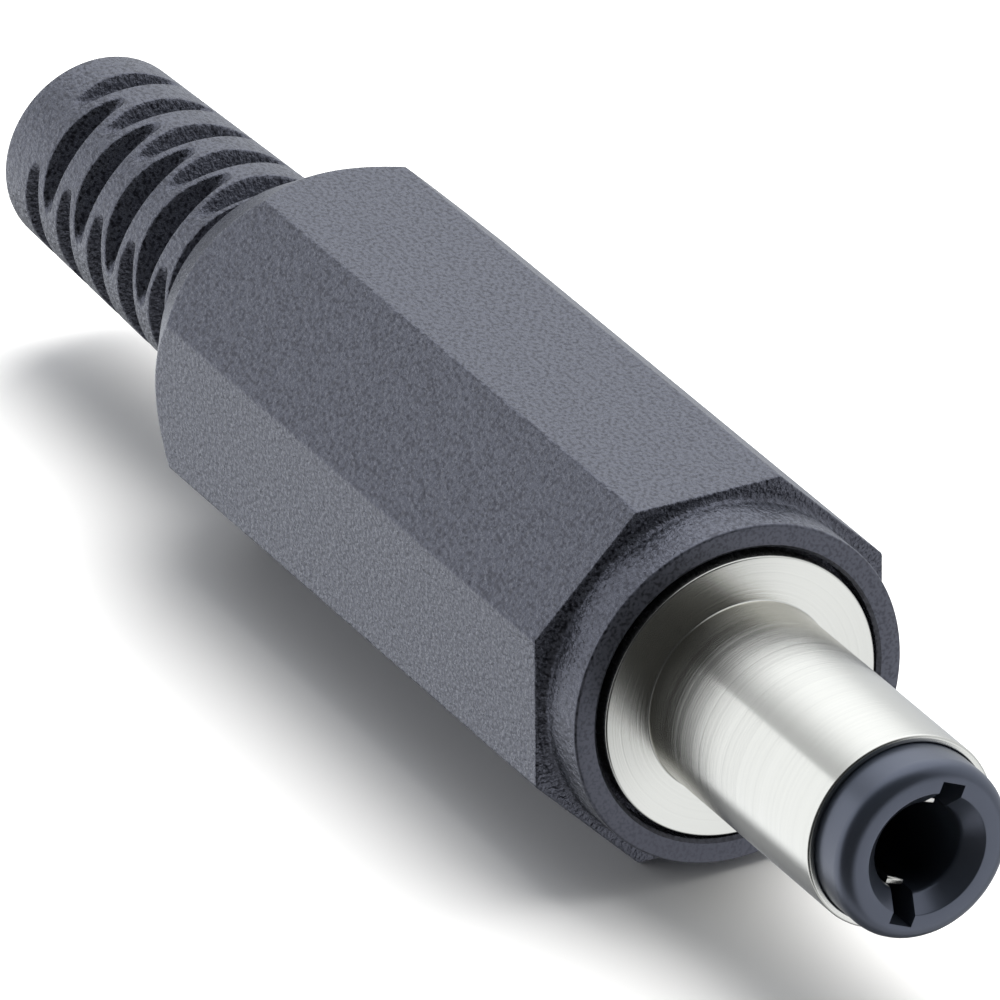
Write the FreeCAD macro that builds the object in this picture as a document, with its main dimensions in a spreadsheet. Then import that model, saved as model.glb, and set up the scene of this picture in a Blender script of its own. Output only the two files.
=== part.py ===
"""A 5.5 x 2.1 mm dc barrel plug for soldering to a cable, with a screw-on octagonal handle.

The plug's axis is X, pointing out of the tip, and +Z is up. The origin is on the axis at the front
face of the sleeve's flange. The plug lies on one flat of its octagonal handle. Lengths are in
millimetres and angles in degrees.
"""
import FreeCAD, Part
import math
import os
import re
import Sketcher
from FreeCAD import Placement, Rotation, Vector

doc = FreeCAD.newDocument("dc_barrel_plug")

# Driving dimensions: name, value, what it is
DIMENSIONS = [
    ("shaft_diameter", 5.5, "outer contact, the size the jack is made for"),
    ("shaft_length", 8.6, "metal part of the shaft in front of the flange"),
    ("shaft_wall", 0.2, "shaft's wall round the insulator's front tube"),
    ("shaft_edge_round", 0.08, "rounded front edge of the shaft"),
    ("flange_diameter", 8.04, "flange that stops against the handle's counterbore"),
    ("flange_thickness", 1.15, "flange along the axis"),
    ("flange_edge_round", 0.06, "rounded front rim of the flange"),
    ("thread_diameter", 7.0, "major diameter of the threaded shank"),
    ("thread_depth", 0.4, "depth of the thread, of the undercut before it and of the step behind it"),
    ("undercut_width", 0.5, "undercut between the flange and the thread, along the axis"),
    ("thread_chamfer", 0.3, "chamfer at the thread's rear end"),
    ("spigot_length", 0.65, "plain spigot behind the thread"),
    ("spigot_wall", 0.3, "spigot's wall round the insulator's rear body"),
    ("sleeve_step", 0.8, "distance from the flange's front face back to the step in the hole"),
    ("rim_lip", 0.4, "how far the spigot's rolled rear edge covers the stack"),
    ("rim_thickness", 0.35, "rolled rim along the axis"),
    ("rim_round", 0.25, "rounded outside of the rolled rim"),
    ("fit_gap", 0.02, "radial gap between the pieces pressed into each other"),
    ("tip_length", 1.4, "insulator standing out of the shaft"),
    ("tip_round", 0.45, "rounded nose of the insulator"),
    ("pin_bore", 2.54, "hole for the jack's centre pin"),
    ("pin_bore_depth", 10.2, "depth of that hole from the tip's face"),
    ("funnel_lead", 0.46, "how far the lead-in widens the hole at the tip's face"),
    ("funnel_depth", 0.5, "lead-in along the axis"),
    ("slot_side_gap", 0.1, "gap on each side of a tine in its slot"),
    ("slot_wall", 0.52, "insulator's wall outside the slots"),
    ("slot_turn", 23.3, "turn of the slots from upright, towards +Y"),
    ("insulator_rear", 6.2, "distance from the flange's front face to the insulator's rear face"),
    ("nose_diameter", 3.1, "insulator's rear nose, through the ground lug's ring"),
    ("strip_thickness", 0.5, "sheet that the fork is stamped from"),
    ("tine_room", 0.28, "room for a tine's root to spread in its slot"),
    ("tine_root_width", 0.4, "width of a tine at its root"),
    ("tine_tip_width", 0.26, "width of a tine at its tip"),
    ("tine_tip_gap", 2.1, "distance between the two tips, where they grip the jack's pin"),
    ("tine_setback", 0.9, "distance from the tip's face back to the tines' tips"),
    ("tine_straight", 1.6, "straight root of the tines in front of the crotch"),
    ("fork_base", 0.8, "solid base of the fork behind the crotch"),
    ("crotch_round", 0.5, "rounded corners of the crotch"),
    ("stem_width", 1.9, "fork's stem and centre solder tag"),
    ("tag_length", 4.9, "centre solder tag behind the washer"),
    ("tag_hole", 1.0, "wire hole in the centre solder tag"),
    ("tag_hole_margin", 1.3, "wire hole's centre from the tag's end"),
    ("lug_thickness", 0.4, "sheet that the ground lug is stamped from"),
    ("lug_hole_gap", 0.05, "gap between the lug's ring and the insulator's nose"),
    ("arm_room", 0.3, "gap between the rolled rim and the middle of the arm's underside"),
    ("arm_width", 1.8, "arm where it passes the rolled rim"),
    ("pad_width", 2.6, "wider part of the arm round its wire hole"),
    ("pad_length", 3.4, "wider part of the arm along the axis"),
    ("lug_wire_hole", 1.1, "wire hole in the ground lug's arm"),
    ("arm_reach", 6.4, "distance from the washer back to the cable clamp"),
    ("clamp_length", 3.4, "cable clamp along the axis"),
    ("clamp_room", 1.0, "room on each side of the open cable clamp in the handle"),
    ("ear_height", 1.9, "top of the clamp's ears above the axis"),
    ("clamp_bend", 0.8, "inside bend radius of the clamp"),
    ("washer_thickness", 0.6, "insulating washer behind the lug's ring"),
    ("notch_gap", 0.06, "room round the parts that pass through the washer"),
    ("octagon_flats", 10.4, "handle across its flats"),
    ("octagon_length", 21.2, "flats, from the front face to where the corners are cut"),
    ("octagon_edge_round", 0.15, "rounded corners between the flats"),
    ("collar_step", 0.32, "side of the round collar below the octagon's flats"),
    ("collar_length", 1.57, "collar along the axis"),
    ("collar_edge_round", 0.08, "rounded outer edge of the collar"),
    ("collar_root_fillet", 0.22, "hollow fillet between the collar and the octagon"),
    ("flange_proud", 0.12, "flange's front face in front of the collar's"),
    ("mouth_gap", 0.17, "gap between the flange and the counterbore that takes it"),
    ("mouth_bevel", 0.1, "bevel round the counterbore's edge"),
    ("seat_gap", 0.05, "gap behind the flange when the handle is screwed home"),
    ("thread_gap", 0.1, "gap between the sleeve's thread and the handle's threaded hole"),
    ("thread_runout", 0.85, "threaded hole behind the rolled rim"),
    ("cavity_diameter", 6.4, "room for the soldered wires and the clamp"),
    ("wire_room", 3.6, "cavity behind the cable clamp, along the axis"),
    ("cable_bore", 3.6, "hole for the cable through the bend relief"),
    ("cable_funnel", 1.8, "cone between the cavity and the cable's hole, along the axis"),
    ("rear_cut_angle", 30.0, "angle of the cone that cuts the octagon's rear corners"),
    ("shoulder_step", 1.2, "edge of the rear shoulder below the octagon's flats"),
    ("shoulder_round", 0.35, "rounded edge of the rear shoulder"),
    ("relief_root_diameter", 6.47, "bend relief at the shoulder"),
    ("relief_end_diameter", 5.78, "bend relief at its rear end"),
    ("relief_length", 11.72, "bend relief behind the shoulder"),
    ("relief_root_fillet", 0.2, "fillet between the shoulder and the bend relief"),
    ("relief_end_round", 0.12, "rounded rear edge of the bend relief"),
    ("groove_floor_round", 0.25, "round floor of the bend relief's grooves"),
    ("groove_draft", 25.0, "slope of the grooves' walls, so that the mould comes free"),
    ("groove_pitch", 2.02, "distance between rows of grooves that lie in line"),
    ("groove_rows", 5, "rows of grooves on each side"),
    ("groove_end_band", 1.83, "first row's middle from the bend relief's rear end"),
    ("groove_turn", 50.0, "middle of the long grooves, from upright towards -Y"),
    ("long_groove_wall", 0.48, "wall between the long grooves and the cable's hole"),
    ("side_groove_turn", 52.0, "middle of the side grooves from the middle of the long ones"),
    ("side_groove_wall", 0.52, "wall between the side grooves and the cable's hole"),
    ("side_groove_radius", 8.5, "curve of the side grooves' floor"),
]

# Stations along the axis and other values worked out from the dimensions
DERIVED = [
    ("shaft_bore", "shaft_diameter - 2 * shaft_wall"),
    ("undercut_diameter", "thread_diameter - 2 * thread_depth"),
    ("spigot_diameter", "thread_diameter - 2 * thread_depth"),
    ("sleeve_rear_bore", "spigot_diameter - 2 * spigot_wall"),
    ("rim_opening", "sleeve_rear_bore - 2 * rim_lip"),
    ("slot_width", "strip_thickness + 2 * slot_side_gap"),
    ("slot_span", "shaft_bore - 2 * slot_wall"),
    ("funnel_mouth", "pin_bore + 2 * funnel_lead"),
    ("fork_width", "slot_span - 2 * tine_room"),
    ("lug_hole", "nose_diameter + 2 * lug_hole_gap"),
    ("arm_drop", "rim_opening / 2 - arm_room"),
    ("clamp_width", "cavity_diameter - 2 * clamp_room"),
    ("tip_face", "shaft_length + tip_length"),
    ("crotch", "tip_face - pin_bore_depth"),
    ("slot_floor", "crotch - fork_base"),
    ("thread_front", "-flange_thickness - undercut_width"),
    ("ring_front", "-insulator_rear"),
    ("ring_rear", "ring_front - lug_thickness"),
    ("washer_rear", "ring_rear - washer_thickness"),
    ("rim_rear", "washer_rear - rim_thickness"),
    ("thread_rear", "rim_rear + spigot_length"),
    ("tag_end", "washer_rear - tag_length"),
    ("clamp_front", "washer_rear - arm_reach"),
    ("clamp_rear", "clamp_front - clamp_length"),
    ("pad_middle", "(rim_rear + clamp_front) / 2"),
    ("handle_front", "-flange_proud"),
    ("octagon_front", "handle_front - collar_length"),
    ("corner_radius", "octagon_flats / 2 / cos(22.5)"),
    ("collar_diameter", "octagon_flats - 2 * collar_step"),
    ("mouth_diameter", "flange_diameter + 2 * mouth_gap"),
    ("mouth_floor", "-flange_thickness - seat_gap"),
    ("thread_bore", "thread_diameter + 2 * thread_gap"),
    ("thread_bore_rear", "rim_rear - thread_runout"),
    ("cavity_rear", "clamp_rear - wire_room"),
    ("shoulder_diameter", "octagon_flats - 2 * shoulder_step"),
    ("corner_cut", "octagon_front - octagon_length"),
    ("shoulder", "corner_cut - (corner_radius - shoulder_diameter / 2) / tan(rear_cut_angle)"),
    ("relief_end", "shoulder - relief_length"),
    ("first_row", "relief_end + groove_end_band"),
    ("long_groove_floor", "cable_bore / 2 + long_groove_wall"),
    ("side_groove_floor", "cable_bore / 2 + side_groove_wall"),
]

sheet = doc.addObject("Spreadsheet::Sheet", "Dimensions")
ALIASES = set()


def in_sheet(text):
    """The same expression with each dimension's name led by the sheet's name."""
    return re.sub(r"[a-z][a-z_]+", lambda m: "Dimensions." + m[0] if m[0] in ALIASES else m[0], text)


def fill_sheet():
    """One row for each dimension: its name, its value and what it is."""
    rows = [(name, str(value), note) for name, value, note in DIMENSIONS]
    rows += [(name, text, "worked out") for name, text in DERIVED]
    for number, (name, text, note) in enumerate(rows, 1):
        sheet.set("A%d" % number, name)
        sheet.set("B%d" % number, "=" + text if note == "worked out" else text)
        sheet.set("C%d" % number, note)
        sheet.setAlias("B%d" % number, name)
        ALIASES.add(name)
    doc.recompute()


def value(text):
    """The number that an expression of the sheet's names has now."""
    return float(sheet.evalExpression(in_sheet(text)))


def bind(thing, prop, text):
    """Bind a property to an expression of the sheet's names."""
    thing.setExpression(prop, in_sheet(text))


def new_body(name):
    """An empty body whose label is the piece's name."""
    body = doc.addObject("PartDesign::Body", name)
    body.Label = name
    return body


def new_sketch(body, name, plane, offset="0", turn="0"):
    """A sketch on one of the body's origin planes, moved along its normal or turned about X."""
    sketch = body.newObject("Sketcher::SketchObject", name)
    support = [feature for feature in body.Origin.OriginFeatures if feature.Role == plane][0]
    sketch.AttachmentSupport = [(support, "")]
    sketch.MapMode = "FlatFace"
    if offset != "0":
        bind(sketch, "AttachmentOffset.Base.z", offset)
    if turn != "0":
        sketch.AttachmentOffset = Placement(Vector(), Rotation(Vector(1, 0, 0), 10))
        bind(sketch, "AttachmentOffset.Rotation.Angle", turn)
    return sketch


def fix(sketch, kind, where, text):
    """Hold one coordinate of a point, or one radius, at an expression of the sheet's names."""
    number = sketch.addConstraint(Sketcher.Constraint(kind, *where, value(text)))
    bind(sketch, "Constraints[%d]" % number, text)


def outline(sketch, points):
    """Add a closed outline of straight lines through points given as pairs of expressions."""
    first = sketch.GeometryCount
    corners = [Vector(value(a), value(b), 0) for a, b in points]
    count = len(corners)
    for i in range(count):
        sketch.addGeometry(Part.LineSegment(corners[i], corners[(i + 1) % count]), False)
    for i in range(count):
        sketch.addConstraint(Sketcher.Constraint("Coincident", first + i, 2, first + (i + 1) % count, 1))
    for i, (a, b) in enumerate(points):
        fix(sketch, "DistanceX", (-1, 1, first + i, 1), a)
        fix(sketch, "DistanceY", (-1, 1, first + i, 1), b)


def circle(sketch, diameter, across="0", up="0"):
    """Add a circle given its diameter and its centre."""
    centre = Vector(value(across), value(up), 0)
    number = sketch.addGeometry(Part.Circle(centre, Vector(0, 0, 1), value(diameter) / 2), False)
    fix(sketch, "DistanceX", (-1, 1, number, 3), across)
    fix(sketch, "DistanceY", (-1, 1, number, 3), up)
    fix(sketch, "Diameter", (number,), diameter)


def add_feature(body, kind, name, sketch, **settings):
    """Add a sketch-based feature. Text settings are bound to the sheet, the others are set."""
    feature = body.newObject("PartDesign::" + kind, name)
    feature.Profile = sketch
    for prop, setting in settings.items():
        if isinstance(setting, str):
            bind(feature, prop, setting)
        else:
            setattr(feature, prop, setting)
    doc.recompute()
    return feature


def turned(body, name, points, cut=False):
    """Turn a closed outline of (station, radius) points about X, to add or to cut."""
    sketch = new_sketch(body, name + "_profile", "XZ_Plane")
    outline(sketch, points)
    kind = "Groove" if cut else "Revolution"
    return add_feature(body, kind, name, sketch, ReferenceAxis=(sketch, ["H_Axis"]), Angle=360)


def padded(body, name, sketch, length, towards_rear=False, **settings):
    """Pad a sketch by a length."""
    return add_feature(body, "Pad", name, sketch, Length=length, Reversed=towards_rear, **settings)


def pocketed(body, name, sketch, length, **settings):
    """Cut a sketch into the body by a length and make sure that it removed something."""
    before = body.Shape.Volume
    pocket = add_feature(body, "Pocket", name, sketch, Length=length, **settings)
    if not body.Shape.Volume < before:
        raise RuntimeError(name + " cuts nothing")
    return pocket


def ring_edges(feature, station, radius):
    """Names of the round edges about X at a station and a radius."""
    names = []
    for number, edge in enumerate(feature.Shape.Edges, 1):
        curve = edge.Curve
        if not isinstance(curve, Part.Circle) or abs(abs(curve.Axis.x) - 1) > 1e-6:
            continue
        off_axis = math.hypot(curve.Center.y, curve.Center.z)
        if off_axis + abs(curve.Center.x - station) + abs(curve.Radius - radius) < 1e-3:
            names.append("Edge%d" % number)
    return names


def straight_edges(feature, direction, test):
    """Names of the straight edges along a direction whose middle passes a test."""
    names = []
    for number, edge in enumerate(feature.Shape.Edges, 1):
        if not isinstance(edge.Curve, Part.Line):
            continue
        if abs(abs(edge.Curve.Direction.dot(direction)) - 1) < 1e-6 and test(edge.CenterOfMass):
            names.append("Edge%d" % number)
    return names


def dressed(body, kind, name, base, edges, size):
    """Round ("Fillet") or bevel ("Chamfer") some edges of the last feature."""
    if not edges:
        raise RuntimeError(name + " finds no edge")
    feature = body.newObject("PartDesign::" + kind, name)
    feature.Base = (base, edges)
    bind(feature, "Radius" if kind == "Fillet" else "Size", size)
    doc.recompute()
    return feature


def make_outer_sleeve():
    """Turned and nickel-plated outer contact: shaft, flange, threaded shank and rolled rim."""
    body = new_body("outer_sleeve")
    turning = turned(body, "sleeve_turning", [
        ("shaft_length", "shaft_bore / 2"),
        ("shaft_length", "shaft_diameter / 2"),
        ("0", "shaft_diameter / 2"),
        ("0", "flange_diameter / 2"),
        ("-flange_thickness", "flange_diameter / 2"),
        ("-flange_thickness", "undercut_diameter / 2"),
        ("thread_front", "undercut_diameter / 2"),
        ("thread_front", "thread_diameter / 2"),
        ("thread_rear", "thread_diameter / 2"),
        ("thread_rear", "spigot_diameter / 2"),
        ("rim_rear", "spigot_diameter / 2"),
        ("rim_rear", "rim_opening / 2"),
        ("washer_rear", "rim_opening / 2"),
        ("washer_rear", "sleeve_rear_bore / 2"),
        ("-sleeve_step", "sleeve_rear_bore / 2"),
        ("-sleeve_step", "shaft_bore / 2"),
    ])
    edges = ring_edges(turning, value("shaft_length"), value("shaft_diameter / 2"))
    feature = dressed(body, "Fillet", "shaft_edge", turning, edges, "shaft_edge_round")
    edges = ring_edges(feature, 0, value("flange_diameter / 2"))
    feature = dressed(body, "Fillet", "flange_edge", feature, edges, "flange_edge_round")
    edges = ring_edges(feature, value("thread_rear"), value("thread_diameter / 2"))
    feature = dressed(body, "Chamfer", "thread_lead", feature, edges, "thread_chamfer")
    edges = ring_edges(feature, value("rim_rear"), value("spigot_diameter / 2"))
    dressed(body, "Fillet", "rolled_rim", feature, edges, "rim_round")
    return body


def turn_with_slots(body):
    """Turn a body about X so that its own XZ plane is the plane of the fork's slots."""
    body.Placement = Placement(Vector(), Rotation(Vector(1, 0, 0), -10))
    bind(body, "Placement.Rotation.Angle", "-slot_turn")


def make_insulator():
    """Moulded insulator: rounded tip, tube with the centre hole, two slots and a rear body."""
    body = new_body("insulator")
    tube = "shaft_bore / 2 - fit_gap"
    rear = "sleeve_rear_bore / 2 - fit_gap"
    moulding = turned(body, "insulator_body", [
        ("tip_face", "funnel_mouth / 2"),
        ("tip_face", tube),
        ("-sleeve_step - fit_gap", tube),
        ("-sleeve_step - fit_gap", rear),
        ("ring_front", rear),
        ("ring_front", "nose_diameter / 2"),
        ("ring_rear", "nose_diameter / 2"),
        ("ring_rear", "0"),
        ("crotch", "0"),
        ("crotch", "pin_bore / 2"),
        ("tip_face - funnel_depth", "pin_bore / 2"),
    ])
    edges = ring_edges(moulding, value("tip_face"), value(tube))
    dressed(body, "Fillet", "tip_nose", moulding, edges, "tip_round")
    slots = new_sketch(body, "slots_outline", "YZ_Plane", "tip_face")
    rectangle(slots, "slot_width", "slot_span")
    pocketed(body, "slots", slots, "tip_face - slot_floor")
    slit = new_sketch(body, "stem_slit_outline", "YZ_Plane", "slot_floor")
    rectangle(slit, "strip_thickness + notch_gap", "stem_width + notch_gap")
    pocketed(body, "stem_slit", slit, "slot_floor - ring_rear")
    turn_with_slots(body)
    return body


def rectangle(sketch, width, height):
    """Add a rectangle centred on the sketch's origin."""
    outline(sketch, [
        ("-(%s) / 2" % width, "-(%s) / 2" % height),
        ("(%s) / 2" % width, "-(%s) / 2" % height),
        ("(%s) / 2" % width, "(%s) / 2" % height),
        ("-(%s) / 2" % width, "(%s) / 2" % height),
    ])


def make_fork_contact():
    """Stamped centre contact: two converging tines, a base, a stem and a solder tag."""
    body = new_body("fork_contact")
    tine_tip = "tip_face - tine_setback"
    tine_bend = "crotch + tine_straight"
    half = [
        (tine_tip, "tine_tip_gap / 2"),
        (tine_tip, "tine_tip_gap / 2 + tine_tip_width"),
        (tine_bend, "fork_width / 2"),
        ("crotch", "fork_width / 2"),
        ("crotch", "slot_span / 2 - fit_gap"),
        ("slot_floor", "slot_span / 2 - fit_gap"),
        ("slot_floor", "stem_width / 2"),
        ("tag_end", "stem_width / 2"),
    ]
    inner = [
        ("crotch", "fork_width / 2 - tine_root_width"),
        (tine_bend, "fork_width / 2 - tine_root_width"),
    ]
    mirrored = [(station, "-(%s)" % height) for station, height in reversed(half)]
    crotch = [(station, "-(%s)" % height) for station, height in reversed(inner)]
    sketch = new_sketch(body, "fork_outline", "XZ_Plane")
    outline(sketch, half + mirrored + crotch + inner)
    blank = padded(body, "fork_blank", sketch, "strip_thickness", Midplane=True)
    across = Vector(0, 1, 0)
    tag_corner = value("tag_end")
    edges = straight_edges(blank, across, lambda p: abs(p.x - tag_corner) < 1e-3)
    feature = dressed(body, "Fillet", "tag_corners", blank, edges, "stem_width / 3")
    inside = value("fork_width / 2 - tine_root_width")
    crotch_at = value("crotch")
    edges = straight_edges(feature, across,
                           lambda p: abs(p.x - crotch_at) + abs(abs(p.z) - inside) < 1e-3)
    feature = dressed(body, "Fillet", "crotch_corners", feature, edges, "crotch_round")
    tip_at = value(tine_tip)
    edges = straight_edges(feature, across, lambda p: abs(p.x - tip_at) < 1e-3)
    dressed(body, "Fillet", "tine_tips", feature, edges, "tine_tip_width / 3")
    hole = new_sketch(body, "tag_hole_outline", "XZ_Plane")
    circle(hole, "tag_hole", "tag_end + tag_hole_margin")
    pocketed(body, "wire_hole", hole, "strip_thickness * 2", Midplane=True)
    turn_with_slots(body)
    return body


def make_ground_lug():
    """Stamped ground lug: ring, arm with a wire hole and an open cable clamp."""
    body = new_body("ground_lug")
    ring = new_sketch(body, "ring_outline", "YZ_Plane", "ring_front")
    circle(ring, "sleeve_rear_bore - 2 * fit_gap")
    circle(ring, "lug_hole")
    padded(body, "ring", ring, "lug_thickness", towards_rear=True)
    arm = new_sketch(body, "arm_outline", "XY_Plane", "-arm_drop")
    pad_front = "pad_middle + pad_length / 2"
    pad_rear = "pad_middle - pad_length / 2"
    taper = "(pad_width - arm_width) / 2"
    half = [
        ("ring_front", "arm_width / 2"),
        ("%s + %s" % (pad_front, taper), "arm_width / 2"),
        (pad_front, "pad_width / 2"),
        (pad_rear, "pad_width / 2"),
        ("%s - %s" % (pad_rear, taper), "arm_width / 2"),
        ("clamp_rear", "arm_width / 2"),
    ]
    outline(arm, half + [(station, "-(%s)" % side) for station, side in reversed(half)])
    padded(body, "arm", arm, "lug_thickness")
    clamp = new_sketch(body, "clamp_outline", "YZ_Plane", "clamp_front")
    outer = "clamp_width / 2"
    inner = "clamp_width / 2 - lug_thickness"
    floor = "lug_thickness - arm_drop"
    outline(clamp, [
        ("-(%s)" % outer, "ear_height"),
        ("-(%s)" % outer, "-arm_drop"),
        (outer, "-arm_drop"),
        (outer, "ear_height"),
        (inner, "ear_height"),
        (inner, floor),
        ("-(%s)" % inner, floor),
        ("-(%s)" % inner, "ear_height"),
    ])
    feature = padded(body, "clamp", clamp, "clamp_length", towards_rear=True)
    along = Vector(1, 0, 0)
    middle = value("(clamp_front + clamp_rear) / 2")
    low, side = value(floor), value(inner)
    edges = straight_edges(feature, along, lambda p: abs(p.x - middle) < 1e-3
                           and abs(p.z - low) + abs(abs(p.y) - side) < 1e-3)
    feature = dressed(body, "Fillet", "clamp_inside_bend", feature, edges, "clamp_bend")
    low, side = value("-arm_drop"), value(outer)
    edges = straight_edges(feature, along, lambda p: abs(p.x - middle) < 1e-3
                           and abs(p.z - low) + abs(abs(p.y) - side) < 1e-3)
    dressed(body, "Fillet", "clamp_outside_bend", feature, edges, "clamp_bend + lug_thickness")
    hole = new_sketch(body, "lug_wire_hole_outline", "XY_Plane", "-arm_drop")
    circle(hole, "lug_wire_hole", "pad_middle")
    pocketed(body, "lug_wire_hole_cut", hole, "lug_thickness", Reversed=True)
    return body


def make_insulating_washer():
    """Punched fibre washer, with a slit for the fork's stem and a notch for the lug's arm."""
    disc = doc.addObject("Part::Cylinder", "washer_disc")
    bind(disc, "Radius", "sleeve_rear_bore / 2 - fit_gap")
    bind(disc, "Height", "washer_thickness")
    disc.Placement = Placement(Vector(), Rotation(Vector(0, 1, 0), 90))
    bind(disc, "Placement.Base.x", "washer_rear")
    slit = doc.addObject("Part::Box", "washer_slit")
    bind(slit, "Length", "washer_thickness * 2")
    bind(slit, "Width", "strip_thickness + notch_gap")
    bind(slit, "Height", "stem_width + notch_gap")
    slit.Placement = Placement(Vector(), Rotation(Vector(1, 0, 0), -10))
    bind(slit, "Placement.Rotation.Angle", "-slot_turn")
    bind(slit, "Placement.Base.x", "washer_rear - washer_thickness / 2")
    half_width, half_height = "(strip_thickness + notch_gap) / 2", "(stem_width + notch_gap) / 2"
    bind(slit, "Placement.Base.y",
         "-(%s) * cos(slot_turn) - %s * sin(slot_turn)" % (half_width, half_height))
    bind(slit, "Placement.Base.z",
         "%s * sin(slot_turn) - %s * cos(slot_turn)" % (half_width, half_height))
    notch = doc.addObject("Part::Box", "washer_notch")
    bind(notch, "Length", "washer_thickness * 2")
    bind(notch, "Width", "arm_width + notch_gap")
    bind(notch, "Height", "sleeve_rear_bore")
    bind(notch, "Placement.Base.x", "washer_rear - washer_thickness / 2")
    bind(notch, "Placement.Base.y", "-(arm_width + notch_gap) / 2")
    bind(notch, "Placement.Base.z", "lug_thickness - arm_drop + notch_gap / 2 - sleeve_rear_bore")
    cuts = doc.addObject("Part::MultiFuse", "washer_cuts")
    cuts.Shapes = [slit, notch]
    washer = doc.addObject("Part::Cut", "insulating_washer")
    washer.Base = disc
    washer.Tool = cuts
    washer.Label = "insulating_washer"
    doc.recompute()
    return washer


def octagon(sketch):
    """Add a regular octagon with level top and bottom sides, held by the size across its flats."""
    radius = value("corner_radius")
    corners = [Vector(radius * math.cos(a), radius * math.sin(a), 0)
               for a in (math.radians(22.5 + 45 * i) for i in range(8))]
    for i in range(8):
        sketch.addGeometry(Part.LineSegment(corners[i], corners[(i + 1) % 8]), False)
    rim = sketch.addGeometry(Part.Circle(Vector(), Vector(0, 0, 1), radius), True)
    sketch.addConstraint(Sketcher.Constraint("Coincident", rim, 3, -1, 1))
    for i in range(8):
        sketch.addConstraint(Sketcher.Constraint("Coincident", i, 2, (i + 1) % 8, 1))
        sketch.addConstraint(Sketcher.Constraint("PointOnObject", i, 1, rim))
    for i in range(1, 8):
        sketch.addConstraint(Sketcher.Constraint("Equal", 0, i))
    sketch.addConstraint(Sketcher.Constraint("Horizontal", 1))
    fix(sketch, "Radius", (rim,), "corner_radius")


def groove_section(sketch, row, floor, top):
    """Add a groove's section from its round floor out to a height above the axis. The walls lean."""
    x, low, high, round_ = (value(text) for text in (row, floor, top, "groove_floor_round"))
    side = 1 if high > low else -1
    draft = math.radians(value("groove_draft"))
    reach = "(groove_floor_round / cos(groove_draft) + (%d * (%s - (%s)) - groove_floor_round)" \
            " * tan(groove_draft))" % (side, top, floor)
    centre = Vector(x, low + side * round_, 0)
    middle = side * -math.pi / 2
    arc_ends = (middle - math.pi / 2 + draft, middle + math.pi / 2 - draft)
    ring = Part.Circle(centre, Vector(0, 0, 1), round_)
    first = sketch.addGeometry(Part.ArcOfCircle(ring, *arc_ends), False)
    ends = [centre + Vector(round_ * math.cos(a), round_ * math.sin(a), 0) for a in arc_ends]
    tops = [Vector(x - side * value(reach), high, 0), Vector(x + side * value(reach), high, 0)]
    sketch.addGeometry(Part.LineSegment(ends[1], tops[1]), False)
    sketch.addGeometry(Part.LineSegment(tops[1], tops[0]), False)
    sketch.addGeometry(Part.LineSegment(tops[0], ends[0]), False)
    arc, rising, across, falling = range(first, first + 4)
    sketch.addConstraint(Sketcher.Constraint("Tangent", arc, 2, rising, 1))
    sketch.addConstraint(Sketcher.Constraint("Coincident", rising, 2, across, 1))
    sketch.addConstraint(Sketcher.Constraint("Coincident", across, 2, falling, 1))
    sketch.addConstraint(Sketcher.Constraint("Tangent", falling, 2, arc, 1))
    sketch.addConstraint(Sketcher.Constraint("Horizontal", across))
    fix(sketch, "DistanceX", (-1, 1, arc, 3), row)
    fix(sketch, "DistanceY", (-1, 1, arc, 3), "%s + (%d) * groove_floor_round" % (floor, side))
    fix(sketch, "Radius", (arc,), "groove_floor_round")
    fix(sketch, "DistanceX", (-1, 1, across, 1), "%s + (%d) * %s" % (row, side, reach))
    fix(sketch, "DistanceX", (-1, 1, across, 2), "%s - (%d) * %s" % (row, side, reach))
    fix(sketch, "DistanceY", (-1, 1, across, 1), top)


def repeat_rows(body, name, features):
    """Repeat grooves along the bend relief, one row after the other."""
    rows = body.newObject("PartDesign::LinearPattern", name)
    rows.Originals = features
    rows.Direction = (body.Origin.OriginFeatures[0], [""])
    rows.Mode = "Spacing"
    bind(rows, "Offset", "groove_pitch")
    bind(rows, "Occurrences", "groove_rows")
    body.Tip = rows
    doc.recompute()


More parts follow.
